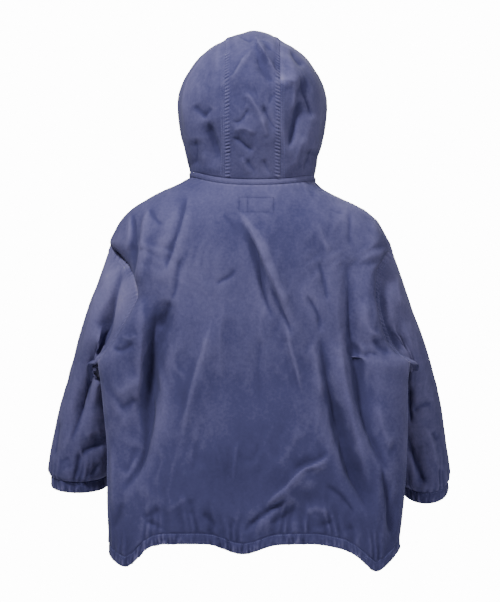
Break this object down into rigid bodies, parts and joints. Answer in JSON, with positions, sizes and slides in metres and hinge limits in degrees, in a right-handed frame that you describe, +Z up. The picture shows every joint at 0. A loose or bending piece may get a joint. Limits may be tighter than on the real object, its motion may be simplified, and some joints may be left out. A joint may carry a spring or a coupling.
{
  "type": "hooded anorak pullover",
  "caption": "Loose hooded pullover in dyed cotton twill, hollow and filled out as worn, with dropped shoulders and gathered hem and cuffs.",
  "frame": {"origin": "centre of the neck opening, level with the seam at the nape, where the wearer's neck holds the garment", "axes": "+Z up along the wearer, +Y the way the wearer faces, +X to the wearer's right"},
  "size_m": [0.7956, 0.2915, 1.0457],
  "materials": {
    "twill": "matte faded navy cotton twill, paler and purplish on ridges and shoulders",
    "casing": "the same twill folded double, gathered and paler along the stitching"
  },
  "bodies": {
    "root": {"back_panel": "twill", "front_panel": "twill", "sleeve_left": "twill", "sleeve_right": "twill", "hood_centre": "twill", "hood_side_left": "twill", "hood_side_right": "twill", "cuff_left": "casing", "cuff_right": "casing", "hem_back": "casing", "hem_front": "casing", "neck_band": "casing", "hood_hem": "casing"}
  },
  "joints": []
}
